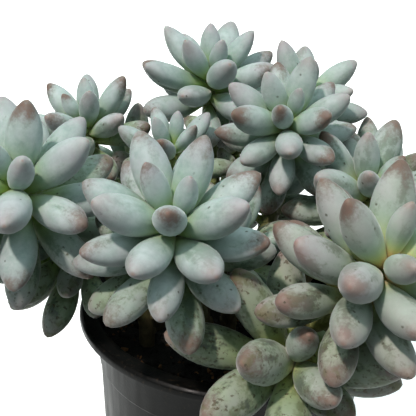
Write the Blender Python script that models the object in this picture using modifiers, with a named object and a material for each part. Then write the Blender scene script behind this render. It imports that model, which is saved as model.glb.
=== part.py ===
"""A potted pachyphytum: a black nursery pot, its soil, and leafy shoots that stand in holes in the soil.

Metres, +Z up. The origin is the middle of the pot's underside, and the front of the plant is towards -Y.
"""

import math
from collections import namedtuple

import bmesh
import bpy
import numpy as np
from mathutils import Matrix

MM = 0.001
UP = np.array([0.0, 0.0, 1.0])

# Between two solids that touch on the real thing
GAP = 0.3 * MM

# Pot: a thin turned shell with its rim rolled outwards and a fine step round its wall
POT_HEIGHT = 105 * MM
RIM_RADIUS = 60 * MM
RIM_HEIGHT = 3.6 * MM
NECK_RADIUS = 53.4 * MM
BASE_RADIUS = 44.5 * MM
WALL = 1.2 * MM
FLOOR = 1.6 * MM
STEP_DROP = 21 * MM
STEP_DEPTH = 0.5 * MM
ROUNDING = 1.2 * MM
POT_SIDES = 36

# Drain holes: in a ring, clear of the middle of the floor. Their cutters go through it with room to spare
DRAIN_HOLES = 6
DRAIN_RADIUS = 3 * MM
DRAIN_CIRCLE = 30 * MM
DRAIN_CUT = 4 * FLOOR
HOLE_SIDES = 8

# Soil: fills the pot to a finger's width below the rim. Inside SOIL_FLAT of its width it has heaps and
# hollows, from waves given by their turns a metre along X and Y and their share of the relief
SOIL_TOP = POT_HEIGHT - 14 * MM
SOIL_RELIEF = 1.4 * MM
SOIL_WAVES = ((34, 11, 0.45), (-13, 38, 0.35), (62, -55, 0.2))
SOIL_SIDES = POT_SIDES // 2
SOIL_RINGS = (0, 0.35, 0.7, 1)
SOIL_FLAT = 0.9

# Stems: upright in the soil, then spreading to their rosettes. STEM_RISE and STEM_LEAD are how strongly the
# two ends steer the bend. A foot is its rosette's place drawn in to the pot
STEM_RADIUS = 3.1 * MM
STEM_TIP_RADIUS = 1.9 * MM
STEM_DEPTH = 16 * MM
STEM_UPRIGHT = 3 * MM
STEM_BENDS = 5
STEM_RISE = 0.4
STEM_LEAD = 0.35
FOOT_SHRINK = 0.42
FOOT_BACK = 8 * MM
FOOT_REACH = 40 * MM

# Leaves: plump, widest past the middle, flat above and keeled below. Widths and places along a leaf are parts
# of its length. LEAF_SWELL moves its widest place towards the tip, and a smaller LEAF_BLUNT rounds its end
LEAF_WIDTH = 0.19
LEAF_FULLER = 1.07
LEAF_FLATNESS = 0.86
LEAF_NECK = 0.28
LEAF_SWELL = 1.36
LEAF_BLUNT = 0.64
LEAF_CURL = 0.07
LEAF_SIDES = 5
LEAF_RINGS = (0.27, 0.62, 0.88)
LEAF_ROOT = -0.06
LEAF_LEVEL = 0.05
ROOT_INSET = 0.9 * MM
YOUNGEST = 0.6
JITTER = math.radians(1.5)
SEED = 11

# Bending leaves clear: balls along each leaf push others away, and a leaf turns about its root. Leaves of one
# shoot may touch up to CROWDED of their length, and push each other less, by PUSH_OWN
BALLS = (0.2, 0.34, 0.48, 0.62, 0.76, 0.9)
CROWDED = 0.4
CLEAR = 0.9 * MM
NEAR = 12 * MM
STEM_BALLS = 3 * MM
RIM_BALL = 5 * MM
PUSH_BACK = 0.55
PUSH_OWN = 0.6
TURNS = 40
TURN_EASE = 2.0
TURN_LIMIT = math.radians(3)
TRIM_ROUNDS = 5
TRIM = 0.9
DIGITS = 9

# Finishes: name, colour and roughness. Then the angles from which edges are left sharp
BLACK_PLASTIC = ("black plastic", (0.02, 0.02, 0.022), 0.4)
DARK_SOIL = ("potting soil", (0.03, 0.022, 0.016), 0.95)
POWDERY_LEAF = ("powdery leaf", (0.42, 0.53, 0.48), 0.7)
POT_SHARP = math.radians(30)
SOIL_SHARP = math.radians(50)
LEAF_SHARP = math.radians(55)

Shoot = namedtuple("Shoot", "name tip bearing lift turn spiral leaves longest inner outer ease step young")

# One line a shoot: where its tip is in mm, the way it faces (bearing from the front towards +X, and lift),
# the turn of its first leaf and from each leaf to the next, how many leaves and the longest in mm, how far
# the innermost and the outermost open, how quickly they open, the stem between two leaves in mm, and how
# many are young. Angles are in degrees
SHOOTS = (
    Shoot("shoot_centre", (-24, -51, 165), -7, 64, -2, 138.4, 28, 33, 14, 104, 0.5, 0.9, 4),
    Shoot("shoot_left", (-79, -35, 166), -18, 50, 130, -136.6, 25, 34, 14, 129, 0.63, 0.9, 4),
    Shoot("shoot_left_back", (-67, 58, 157), -54, 76, -85, -139.6, 17, 27, 12, 95, 0.9, 0.8, 4),
    Shoot("shoot_small_back", (-29, 27, 160), -20, 80, 85, 138.4, 13, 24, 8, 112, 1.0, 1.0, 6),
    Shoot("shoot_top", (-16, 64, 180), -11, 82, -31, 137.4, 20, 31, 14, 100, 1.0, 0.8, 5),
    Shoot("shoot_right_back", (14, 16, 178), -10, 50, 43, -137.6, 24, 27, 21, 115, 0.73, 0.9, 4),
    Shoot("shoot_far_back", (24, 70, 171), 8, 54, 69, 136.4, 19, 29, 22, 116, 0.5, 0.9, 4),
    Shoot("shoot_right_middle", (48, 10, 155), 15, 62, 20, -137.5, 20, 31, 15, 108, 0.65, 1.0, 4),
    Shoot("shoot_right_edge", (84, 10, 160), 55, 60, 0, 137.5, 16, 31, 15, 108, 0.7, 1.0, 4),
    Shoot("shoot_right_front", (44, -68, 164), 40, 56, 82, 137.8, 26, 34, 27, 114, 0.5, 1.1, 4),
    Shoot("shoot_lower_front", (20, -60, 121), 15, 35, 95, -137.5, 15, 42, 25, 105, 0.7, 1.5, 3),
    Shoot("shoot_lower_left", (-72, -6, 127), -60, 25, 10, 137.5, 15, 31, 25, 110, 0.7, 1.2, 3),
    Shoot("shoot_middle", (-4, -10, 139), 10, 75, 0, 137.5, 14, 28, 15, 100, 0.8, 1.1, 4),
    Shoot("shoot_back_left", (-50, 80, 130), -150, 40, 40, 137.5, 14, 31, 20, 105, 0.7, 1.1, 3),
    Shoot("shoot_back_right", (62, 70, 134), 140, 40, 110, -137.5, 15, 31, 20, 105, 0.7, 1.1, 3),
    Shoot("shoot_heart", (9, 45, 136), 128, 55, 148, -137.5, 13, 27, 15, 100, 0.7, 1.0, 3),
    Shoot("shoot_back_middle", (0, 102, 141), 150, 58, 248, -137.5, 12, 30, 21, 103, 0.7, 1.0, 3),
)


def clear_scene():
    for thing in list(bpy.data.objects):
        bpy.data.objects.remove(thing, do_unlink=True)


def new_collection(name):
    collection = bpy.data.collections.new(name)
    bpy.context.scene.collection.children.link(collection)
    return collection


def new_material(name, colour, roughness):
    """A finish that isn't metal."""
    material = bpy.data.materials.new(name)
    material.use_nodes = True
    shader = material.node_tree.nodes["Principled BSDF"]
    shader.inputs["Base Color"].default_value = (*colour, 1)
    shader.inputs["Roughness"].default_value = roughness
    shader.inputs["Metallic"].default_value = 0
    return material


def new_object(name, data, collection, material=None):
    thing = bpy.data.objects.new(name, data)
    collection.objects.link(thing)
    if material:
        data.materials.append(material)
    return thing


def made_mesh(thing):
    """The object's mesh with its modifiers or its curve worked out, and its loose caps joined on."""
    graph = bpy.context.evaluated_depsgraph_get()
    mesh = bpy.data.meshes.new_from_object(thing.evaluated_get(graph))
    shape = bmesh.new()
    shape.from_mesh(mesh)
    bmesh.ops.remove_doubles(shape, verts=shape.verts, dist=0.01 * MM)
    shape.to_mesh(mesh)
    shape.free()
    return mesh


def apply_all(thing):
    """Swaps the object's mesh for the one that its modifiers make."""
    old = thing.data
    thing.data = made_mesh(thing)
    thing.modifiers.clear()
    bpy.data.meshes.remove(old)


def join(thing, others, operation):
    """One Boolean of the object with a whole collection, whose objects are then removed."""
    boolean = thing.modifiers.new("Join", "BOOLEAN")
    boolean.operation = operation
    boolean.operand_type = "COLLECTION"
    boolean.collection = others
    boolean.solver = "EXACT"
    apply_all(thing)
    for other in list(others.objects):
        bpy.data.objects.remove(other, do_unlink=True)


def finish(thing, origin, sharp_angle, root):
    """Shades the piece, moves its origin to a place of its own, and hangs it on the root."""
    thing.data.transform(Matrix.Translation(-origin))
    thing.location = origin
    thing.data.shade_smooth()
    thing.data.set_sharp_from_angle(angle=sharp_angle)
    thing.parent = root


def turned(name, profile, sides, collection, material=None):
    """A shape turned about Z from (radius, height) points, which run down its outer side."""
    mesh = bpy.data.meshes.new(name)
    points = [(radius, 0, height) for radius, height in profile]
    mesh.from_pydata(points, [(i, i + 1) for i in range(len(points) - 1)], [])
    thing = new_object(name, mesh, collection, material)
    screw = thing.modifiers.new("Turn", "SCREW")
    screw.steps = sides
    screw.render_steps = sides
    screw.use_merge_vertices = True
    screw.merge_threshold = 0.01 * MM
    apply_all(thing)
    return thing


def add_hole_cutter(place, radius, depth, cutters):
    """An upright cylinder, centred on its place, that will be taken out of a piece."""
    bpy.ops.mesh.primitive_cylinder_add(vertices=HOLE_SIDES, radius=radius, depth=depth, location=place)
    cutter = bpy.context.object
    for collection in list(cutter.users_collection):
        collection.objects.unlink(cutter)
    cutters.objects.link(cutter)
    cutter.hide_render = True
    cutter.display_type = "WIRE"


def wall_radius(height):
    """The radius of the pot's tapered wall, outside."""
    return BASE_RADIUS + (NECK_RADIUS - BASE_RADIUS) * height / (POT_HEIGHT - RIM_HEIGHT)


def pot_profile():
    """The pot's section: up its inside, over the rolled rim, and down its outside to its base."""
    rim_foot = POT_HEIGHT - RIM_HEIGHT
    step = POT_HEIGHT - STEP_DROP
    roll = POT_HEIGHT - WALL
    return [
        (0, FLOOR),
        (wall_radius(FLOOR) - WALL, FLOOR),
        (wall_radius(rim_foot) - WALL, rim_foot),
        (wall_radius(rim_foot) - WALL + ROUNDING, POT_HEIGHT),
        (RIM_RADIUS - ROUNDING, POT_HEIGHT),
        (RIM_RADIUS, POT_HEIGHT - ROUNDING),
        (RIM_RADIUS, rim_foot),
        (RIM_RADIUS - WALL, rim_foot),
        (RIM_RADIUS - WALL, roll),
        (wall_radius(rim_foot), roll),
        (wall_radius(step), step),
        (wall_radius(step) - STEP_DEPTH, step - STEP_DEPTH),
        (BASE_RADIUS, ROUNDING),
        (BASE_RADIUS - ROUNDING, 0),
        (0, 0),
    ]


def make_pot(parts, work):
    """The nursery pot, with its drain holes."""
    pot = turned("pot", pot_profile(), POT_SIDES, parts, new_material(*BLACK_PLASTIC))
    for k in range(DRAIN_HOLES):
        angle = math.tau * (k + 0.5) / DRAIN_HOLES
        place = (DRAIN_CIRCLE * math.cos(angle), DRAIN_CIRCLE * math.sin(angle), 0)
        add_hole_cutter(place, DRAIN_RADIUS, DRAIN_CUT, work)
    join(pot, work, "DIFFERENCE")
    return pot


def soil_relief(x, y):
    """The height of the soil's heaps and hollows."""
    waves = [share * math.sin(math.tau * (x * on_x + y * on_y)) for on_x, on_y, share in SOIL_WAVES]
    return SOIL_RELIEF * sum(waves)


def make_soil(parts, work):
    """The soil, shaped by the pot that it fills, with a plain hole for each stem."""
    bottom = FLOOR + GAP
    inset = (WALL + 2 * GAP) / math.cos(math.pi / POT_SIDES)
    top_radius = wall_radius(SOIL_TOP) - inset
    profile = [(top_radius * part, SOIL_TOP) for part in SOIL_RINGS]
    profile += [(wall_radius(bottom) - inset, bottom), (0, bottom)]
    soil = turned("soil", profile, SOIL_SIDES, parts, new_material(*DARK_SOIL))
    for vertex in soil.data.vertices:
        x, y, z = vertex.co
        if z > SOIL_TOP - GAP and math.hypot(x, y) < SOIL_FLAT * top_radius:
            vertex.co.z += soil_relief(x, y)
    radius = (STEM_RADIUS + GAP) / math.cos(math.pi / HOLE_SIDES)
    for shoot in SHOOTS:
        add_hole_cutter(foot_of(shoot), radius, 2 * (STEM_DEPTH + GAP), work)
    join(soil, work, "DIFFERENCE")
    return soil


def facing(shoot):
    """The way that the shoot's tip points, as a unit vector."""
    bearing = math.radians(shoot.bearing)
    lift = math.radians(shoot.lift)
    level = math.cos(lift)
    return np.array([math.sin(bearing) * level, -math.cos(bearing) * level, math.sin(lift)])


def foot_of(shoot):
    """Where the shoot's stem enters the soil."""
    x = FOOT_SHRINK * MM * shoot.tip[0]
    y = FOOT_SHRINK * MM * shoot.tip[1] + FOOT_BACK
    reach = min(1.0, FOOT_REACH / max(math.hypot(x, y), MM))
    return np.array([x * reach, y * reach, SOIL_TOP])


def stem_line(shoot):
    """The points of the stem's middle line from its foot to its tip, and the stem's radius at each."""
    tip = np.array(shoot.tip) * MM
    axis = facing(shoot)
    crown = tip - axis * shoot.step * MM * (shoot.leaves + 1)
    start = foot_of(shoot) + STEM_UPRIGHT * UP
    reach = np.linalg.norm(crown - start)
    handles = (start, start + STEM_RISE * reach * UP, crown - STEM_LEAD * reach * axis, crown)
    points = [foot_of(shoot) - STEM_DEPTH * UP]
    for k in range(STEM_BENDS + 1):
        t = k / STEM_BENDS
        weights = ((1 - t) ** 3, 3 * t * (1 - t) ** 2, 3 * t * t * (1 - t), t**3)
        points.append(sum(weight * handle for weight, handle in zip(weights, handles)))
    radii = [STEM_RADIUS] * len(points)
    points += [(crown + tip) / 2, tip]
    radii += [(STEM_RADIUS + STEM_TIP_RADIUS) / 2, STEM_TIP_RADIUS]
    return np.array(points), np.array(radii)


def leaf_radius(t):
    """Half the width of a leaf of length 1 at t along it, from its narrow root to its blunt end."""
    swell = np.abs(np.sin(np.pi * t**LEAF_SWELL)) ** LEAF_BLUNT
    return LEAF_WIDTH * np.hypot(swell, LEAF_NECK * (1 - t))


def unit(vectors, least=1e-9):
    """The vectors at a length of 1, and those shorter than the least kept short."""
    return vectors / np.maximum(np.linalg.norm(vectors, axis=-1, keepdims=True), least)


class Leaves:
    """All the plant's leaves, as arrays: root, heading, length, stem's axis and shoot's number."""

    def __init__(self):
        draw = np.random.default_rng(SEED)
        rows = []
        for number, shoot in enumerate(SHOOTS):
            rows += self.spiral(number, shoot, draw)
        columns = [np.array(column) for column in zip(*rows)]
        self.roots, self.heads, self.lengths, self.axes, self.shoots = columns

    @staticmethod
    def spiral(number, shoot, draw):
        """One shoot's leaves from its tip down: each turned on from the last, and more open."""
        axis = facing(shoot)
        side = unit(np.cross(UP, axis))
        across = np.cross(axis, side)
        for k in range(shoot.leaves):
            around = math.radians(shoot.turn + shoot.spiral * k) + draw.normal(0, JITTER)
            share = (k / (shoot.leaves - 1)) ** shoot.ease
            opening = math.radians(shoot.inner + (shoot.outer - shoot.inner) * share)
            opening += draw.normal(0, JITTER)
            out = math.cos(around) * side + math.sin(around) * across
            root = (np.array(shoot.tip) - axis * shoot.step * k) * MM + out * ROOT_INSET
            head = math.cos(opening) * axis + math.sin(opening) * out
            grown = min(1.0, YOUNGEST + (1 - YOUNGEST) * k / shoot.young)
            yield root, head, shoot.longest * MM * grown, axis, number

    def rise(self):
        """The way that each leaf's upper face looks: square to the leaf, on the side of the stem's tip."""
        along = np.sum(self.axes * self.heads, axis=1, keepdims=True)
        return unit(self.axes - along * self.heads, LEAF_LEVEL)

    def balls(self):
        """Balls along each leaf that fill its form, as centres and radii."""
        t = np.array(BALLS)[None, :, None]
        bent = t * self.heads[:, None] + LEAF_CURL * t * t * self.rise()[:, None]
        centres = self.roots[:, None] + self.lengths[:, None, None] * bent
        return centres, self.lengths[:, None] * leaf_radius(np.array(BALLS))[None]


def stem_balls():
    """Balls along every stem, as centres, radii and the number of the shoot that each is on."""
    centres, radii, shoots = [], [], []
    for number, shoot in enumerate(SHOOTS):
        points, sizes = stem_line(shoot)
        for start, end, size in zip(points[:-1], points[1:], sizes[:-1]):
            steps = max(1, int(np.linalg.norm(end - start) / STEM_BALLS))
            centres += [start + (end - start) * k / steps for k in range(steps)]
            radii += [size] * steps
            shoots += [number] * steps
    return np.array(centres), np.array(radii), np.array(shoots)


def pot_push(centres, radii):
    """How far each ball has to move to be clear of the rim, of the wall's outside and of the soil."""
    reach = np.maximum(np.linalg.norm(centres[..., :2], axis=-1, keepdims=True), MM)
    out = centres * (1, 1, 0) / reach
    rim = out * (NECK_RADIUS + RIM_RADIUS) / 2 + UP * (POT_HEIGHT - RIM_HEIGHT / 2)
    size = radii[..., None] + CLEAR
    from_rim = centres - rim
    far = np.linalg.norm(from_rim, axis=-1, keepdims=True)
    push = unit(from_rim) * np.clip(size + RIM_BALL - far, 0, None)
    inside = reach < NECK_RADIUS
    beside = (centres[..., 2:] < POT_HEIGHT) & ~inside
    sunk = np.clip(SOIL_TOP + SOIL_RELIEF + size - centres[..., 2:], 0, None)
    crossed = np.clip(NECK_RADIUS + size - reach, 0, None)
    return push + np.where(inside, sunk, 0) * UP + np.where(beside, crossed, 0) * out


def near_pairs(leaves, stems):
    """Pairs of a leaf's ball and a ball of another leaf, or of another shoot's stem, that could touch.

    Returned as their numbers, the distance that keeps them clear, whether both are on one shoot, and the
    share of a crossing that the first ball makes good.
    """
    centres, radii = leaves.balls()
    count, each = radii.shape
    movers = count * each
    everywhere = np.concatenate([centres.reshape(-1, 3), stems[0]])
    size = np.concatenate([radii.reshape(-1), stems[1]])
    leaf = np.concatenate([np.repeat(np.arange(count), each), -1 - stems[2]])
    shoot = np.concatenate([np.repeat(leaves.shoots, each), stems[2]])
    outer = np.concatenate([np.tile(np.array(BALLS) > CROWDED, count), np.zeros(len(stems[2]), bool)])
    far = np.linalg.norm(everywhere[:movers, None] - everywhere[None], axis=-1)
    own = shoot[:movers, None] == shoot[None]
    close = far < size[:movers, None] + size[None] + NEAR
    close &= leaf[:movers, None] != leaf[None]
    close &= ~own | (outer[:movers, None] & outer[None])
    one, two = np.nonzero(close)
    own = own[one, two]
    share = np.where(leaf[two] < 0, 1.0, np.where(own, PUSH_BACK * PUSH_OWN, PUSH_BACK))
    return one, two, size[one] + size[two] + CLEAR, own, share


def pushes(leaves, stems, pairs):
    """The balls' centres, how each is pushed, and how deep each leaf crosses what isn't its own shoot."""
    centres, radii = leaves.balls()
    one, two, apart, own, share = pairs
    everywhere = np.concatenate([centres.reshape(-1, 3), stems[0]])
    step = everywhere[one] - everywhere[two]
    depth = np.clip(apart - np.linalg.norm(step, axis=1), 0, None)
    push = pot_push(centres, radii).reshape(-1, 3)
    worst = np.linalg.norm(push, axis=1)
    np.add.at(push, one, (share * depth)[:, None] * unit(step))
    np.maximum.at(worst, one, np.where(own, 0, depth))
    return centres, push.reshape(centres.shape), worst.reshape(radii.shape).max(axis=1)


def settle(leaves):
    """Turns the leaves about their roots until they are clear of each other, and trims those that can't be.

    Returns which leaves are kept. Headings are rounded, so that the same plant grows on every computer.
    """
    stems = stem_balls()
    for _ in range(TRIM_ROUNDS):
        pairs = near_pairs(leaves, stems)
        for _ in range(TURNS):
            centres, push, worst = pushes(leaves, stems, pairs)
            lever = centres - leaves.roots[:, None]
            turn = TURN_EASE * np.cross(lever, push).sum(axis=1) / (lever**2).sum(axis=(1, 2))[:, None]
            turn = unit(turn) * np.minimum(TURN_LIMIT, np.linalg.norm(turn, axis=1, keepdims=True))
            leaves.heads = np.round(unit(leaves.heads + np.cross(turn, leaves.heads)), DIGITS)
        worst = pushes(leaves, stems, near_pairs(leaves, stems))[2]
        leaves.lengths = np.where(worst > CLEAR / 2, leaves.lengths * TRIM, leaves.lengths)
    return pushes(leaves, stems, near_pairs(leaves, stems))[2] < CLEAR


def leaf_form(work):
    """One leaf along +Z, a metre long, its flat face to +Y and its keel to -Y: turned, then flattened."""
    profile = [(0, 1)] + [(leaf_radius(t), t) for t in reversed(LEAF_RINGS)] + [(0, LEAF_ROOT)]
    form = turned("leaf form", profile, LEAF_SIDES, work)
    mesh = form.data
    flatten = Matrix.Diagonal((LEAF_FULLER, LEAF_FULLER * LEAF_FLATNESS, 1, 1))
    mesh.transform(flatten @ Matrix.Rotation(-math.pi / 2, 4, "Z"))
    bpy.data.objects.remove(form, do_unlink=True)
    return mesh


def add_leaf(form, work, root, head, rise, length):
    """A copy of the leaf, bent upwards along its middle line and set with its root in the stem."""
    mesh = form.copy()
    side = np.cross(rise, head)
    for vertex in mesh.vertices:
        x, y, t = vertex.co
        bent = t * head + LEAF_CURL * t * abs(t) * rise
        vertex.co = root + length * (bent + x * side + y * rise)
    return new_object("leaf", mesh, work)


def make_stem(shoot, parts, material):
    """The bare stem: a curve with a round section, made a mesh."""
    points, radii = stem_line(shoot)
    curve = bpy.data.curves.new(shoot.name, "CURVE")
    curve.dimensions = "3D"
    curve.bevel_depth = STEM_RADIUS
    curve.bevel_resolution = 1
    curve.use_fill_caps = True
    line = curve.splines.new("POLY")
    line.points.add(len(points) - 1)
    for point, place, radius in zip(line.points, points, radii):
        point.co = (*place, 1)
        point.radius = radius / STEM_RADIUS
    guide = new_object("stem line", curve, parts)
    mesh = made_mesh(guide)
    bpy.data.objects.remove(guide, do_unlink=True)
    return new_object(shoot.name, mesh, parts, material)


def make_shoots(parts, work):
    """Each shoot, its leaves grown together with its stem as one solid."""
    leaves = Leaves()
    kept = settle(leaves)
    rise = leaves.rise()
    form = leaf_form(work)
    skin = new_material(*POWDERY_LEAF)
    shoots = []
    for number, shoot in enumerate(SHOOTS):
        thing = make_stem(shoot, parts, skin)
        for k in np.flatnonzero((leaves.shoots == number) & kept):
            add_leaf(form, work, leaves.roots[k], leaves.heads[k], rise[k], leaves.lengths[k])
        join(thing, work, "UNION")
        shoots.append(thing)
    return shoots


def main():
    clear_scene()
    parts = new_collection("potted pachyphytum")
    work = new_collection("cutters and leaves")
    root = new_object("plant root", None, parts)
    finish(make_pot(parts, work), np.zeros(3), POT_SHARP, root)
    finish(make_soil(parts, work), (FLOOR + GAP) * UP, SOIL_SHARP, root)
    for shoot, thing in zip(SHOOTS, make_shoots(parts, work)):
        finish(thing, foot_of(shoot), LEAF_SHARP, root)


main()
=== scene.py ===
# %% [markdown]
# # Dressing a potted pachyphytum
#
# A pachyphytum is a small succulent. Its plump leaves stand in spiral rosettes at the ends of bare stems,
# under a powdery bloom that makes them look pale and bluish. The frame already holds the plant as plain
# solids: a pot, its soil and seventeen leafy shoots. Here a finer piece takes the place of each. Lengths are
# in metres, +Z is up, and the camera stands on the side of -Y.

# %% Load the frame
import math
from collections import namedtuple

import bmesh
import bpy
import numpy as np
from mathutils import Matrix, Vector


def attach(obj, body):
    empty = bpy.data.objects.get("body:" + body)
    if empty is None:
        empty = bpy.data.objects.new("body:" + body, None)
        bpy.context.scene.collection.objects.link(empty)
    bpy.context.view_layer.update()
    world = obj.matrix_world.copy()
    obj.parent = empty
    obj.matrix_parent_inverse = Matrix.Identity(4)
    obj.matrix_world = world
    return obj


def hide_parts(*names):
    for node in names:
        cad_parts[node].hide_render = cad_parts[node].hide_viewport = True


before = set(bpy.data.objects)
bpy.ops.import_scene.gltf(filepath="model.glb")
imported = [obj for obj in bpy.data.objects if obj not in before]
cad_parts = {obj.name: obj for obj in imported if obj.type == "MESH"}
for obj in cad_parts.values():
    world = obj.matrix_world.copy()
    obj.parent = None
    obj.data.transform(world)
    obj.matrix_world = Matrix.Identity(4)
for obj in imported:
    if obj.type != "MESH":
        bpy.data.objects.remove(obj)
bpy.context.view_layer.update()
MM = 0.001
UP = np.array([0.0, 0.0, 1.0])

# %% [markdown]
# The camera comes first. The photo was taken from a little above the plant, with a long lens held slightly
# askew, so the pot's rim shows as a leaning ellipse. The roll is a turn about the camera's own line of sight.

# %% Camera
CAMERA_PLACE = Vector((-13.1, -341.6, 299.1)) * MM
CAMERA_DIP = math.radians(24)
CAMERA_ROLL = math.radians(4.1)
SENSOR = 36.0
LENS = 86.54

bpy.ops.object.camera_add(location=CAMERA_PLACE)
camera = bpy.context.object
camera.data.sensor_width = SENSOR
camera.data.lens = LENS
aim = Matrix.Rotation(math.pi / 2 - CAMERA_DIP, 4, "X") @ Matrix.Rotation(CAMERA_ROLL, 4, "Z")
camera.rotation_euler = aim.to_euler()
bpy.context.scene.camera = camera
print("the camera looks down by", round(math.degrees(CAMERA_DIP)), "degrees")

# %% [markdown]
# Every piece below is modelled with Blender's operators, as by hand. They act on whatever is selected, so a
# few helpers keep that plain: one deselects everything, one names what an operator has just made, one opens
# a piece in edit mode, and one picks its points by their place. Another ends a piece: it joins doubled points
# and turns the faces outwards.

# %% Working with operators
def clear_selection():
    bpy.ops.object.select_all(action="DESELECT")


def make_active(piece):
    clear_selection()
    piece.select_set(True)
    bpy.context.view_layer.objects.active = piece


def made(name):
    """The object that an operator has just made, named, with its place in its mesh."""
    piece = bpy.context.object
    piece.name = name
    piece.data.name = name
    bpy.ops.object.transform_apply(location=True, rotation=True, scale=True)
    return piece


def edit(piece):
    """Opens a piece in edit mode, with all of it selected."""
    make_active(piece)
    bpy.ops.object.mode_set(mode="EDIT")
    bpy.ops.mesh.select_all(action="SELECT")


def end_edit():
    bpy.ops.object.mode_set(mode="OBJECT")


def select_points(piece, test):
    """Selects those points of the piece, in edit mode, whose place passes the test."""
    bpy.ops.mesh.select_all(action="DESELECT")
    shape = bmesh.from_edit_mesh(piece.data)
    for point in shape.verts:
        point.select = bool(test(point.co))
    shape.select_flush(True)
    bmesh.update_edit_mesh(piece.data)


def close_up(piece):
    """Joins doubled points and turns all faces outwards."""
    edit(piece)
    bpy.ops.mesh.remove_doubles(threshold=0.001 * MM)
    bpy.ops.mesh.normals_make_consistent(inside=False)
    end_edit()


def apply_modifier(piece, kind, **settings):
    """Adds a modifier with its settings and applies it."""
    make_active(piece)
    modifier = piece.modifiers.new(kind.title(), kind)
    for name, value in settings.items():
        setattr(modifier, name, value)
    bpy.ops.object.modifier_apply(modifier=modifier.name)


def copy_of(form):
    """A copy of a piece with a mesh of its own."""
    piece = bpy.data.objects.new("copy", form.data.copy())
    bpy.context.scene.collection.objects.link(piece)
    return piece


def join(pieces):
    """Joins all the pieces into the first."""
    make_active(pieces[0])
    for piece in pieces[1:]:
        piece.select_set(True)
    bpy.ops.object.join()
    return pieces[0]


def point_places(piece):
    """The places of the piece's points, one row each."""
    places = np.zeros(len(piece.data.vertices) * 3)
    piece.data.vertices.foreach_get("co", places)
    return places.reshape(-1, 3)


def tell_points(piece, name, kind, values):
    """Stores one value for each point of the piece, under a name that its material reads."""
    fact = piece.data.attributes.new(name, kind, "POINT")
    fact.data.foreach_set("vector" if kind == "FLOAT_VECTOR" else "value", np.ravel(values))


print("helpers are ready")

# %% [markdown]
# Materials are built from nodes, so one more helper adds a node with its settings and links, and hands back
# the socket that it gives. Colours are written as on the web and turned to the linear values that Blender
# reckons in. Real finishes lie in layers, as paint or dirt does, so another helper lays colours over one
# another. Each layer has a tint, a strength, and any number of facts, such as age or a noise, that ease it in
# from where it starts to where it is full.

# %% Working with materials
# The Attribute node's plain number and its vector, and the Mix node's places for two colours and their mix
FACT = 2
FACT_VECTOR = 1
FIRST = 6
SECOND = 7
MIXED = 2


def colour(code):
    """An sRGB hex value as a linear colour."""
    parts = [int(code[k:k + 2], 16) / 255 for k in (1, 3, 5)]
    return (*[part / 12.92 if part <= 0.04045 else ((part + 0.055) / 1.055) ** 2.4 for part in parts], 1)


def new_material(name):
    material = bpy.data.materials.new(name)
    material.use_nodes = True
    material.node_tree.nodes.clear()
    return material


def add(material, kind, inputs, out=0, **settings):
    """Adds one node. An input given as a socket is linked, and a value or a colour's code is filled in."""
    node = material.node_tree.nodes.new("ShaderNode" + kind)
    for name, value in settings.items():
        setattr(node, name, value)
    for name, value in inputs.items():
        if isinstance(value, bpy.types.NodeSocket):
            material.node_tree.links.new(value, node.inputs[name])
        else:
            node.inputs[name].default_value = colour(value) if isinstance(value, str) else value
    return node.outputs[out] if len(node.outputs) > out else node


def lay_over(material, under, layers):
    """Lays colours over one: each layer is a tint, its strength, and facts as (fact, start, full)."""
    for tint, strength, *facts in layers:
        for fact, start, full in facts:
            ends = {"Value": fact, "From Min": start, "From Max": full, "To Max": strength}
            strength = add(material, "MapRange", ends, interpolation_type="SMOOTHSTEP")
        under = add(material, "Mix", {0: strength, FIRST: under, SECOND: tint}, MIXED, data_type="RGBA")
    return under


print("white is", colour("#ffffff")[:3])

# %% [markdown]
# ## Where the leaves stand
#
# The plain solids were grown by a rule, and the fine leaves have to stand where they do, so the rule and its
# sizes are repeated here. Each shoot turns about 137.5 degrees from one leaf to the next, as nearly all
# spiral plants do, and its leaves open wider from the tip down. Leaves that would touch then push each other
# aside.

# %% Sizes of the pot and the soil
GAP = 0.3 * MM

POT_HEIGHT = 105 * MM
RIM_RADIUS = 60 * MM
RIM_HEIGHT = 3.6 * MM
NECK_RADIUS = 53.4 * MM
BASE_RADIUS = 44.5 * MM
WALL = 1.2 * MM
FLOOR = 1.6 * MM
STEP_DROP = 21 * MM
STEP_DEPTH = 0.5 * MM
ROUNDING = 1.2 * MM
DRAIN_HOLES = 6
DRAIN_RADIUS = 3 * MM
DRAIN_CIRCLE = 30 * MM

SOIL_TOP = POT_HEIGHT - 14 * MM
SOIL_RELIEF = 1.4 * MM
SOIL_WAVES = ((34, 11, 0.45), (-13, 38, 0.35), (62, -55, 0.2))
print("soil lies", round((POT_HEIGHT - SOIL_TOP) / MM), "mm below the rim")

# %% Sizes of the plant
STEM_RADIUS = 3.1 * MM
STEM_TIP_RADIUS = 1.9 * MM
STEM_DEPTH = 16 * MM
STEM_UPRIGHT = 3 * MM
STEM_BENDS = 5
STEM_RISE = 0.4
STEM_LEAD = 0.35
FOOT_SHRINK = 0.42
FOOT_BACK = 8 * MM
FOOT_REACH = 40 * MM

LEAF_WIDTH = 0.19
LEAF_NECK = 0.28
LEAF_SWELL = 1.36
LEAF_BLUNT = 0.64
LEAF_CURL = 0.07
LEAF_ROOT = -0.06
LEAF_LEVEL = 0.05
ROOT_INSET = 0.9 * MM
YOUNGEST = 0.6
JITTER = math.radians(1.5)
SEED = 11

BALLS = (0.2, 0.34, 0.48, 0.62, 0.76, 0.9)
CROWDED = 0.4
CLEAR = 0.9 * MM
NEAR = 12 * MM
STEM_BALLS = 3 * MM
RIM_BALL = 5 * MM
PUSH_BACK = 0.55
PUSH_OWN = 0.6
TURNS = 40
TURN_EASE = 2.0
TURN_LIMIT = math.radians(3)
TRIM_ROUNDS = 5
TRIM = 0.9
DIGITS = 9

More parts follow.
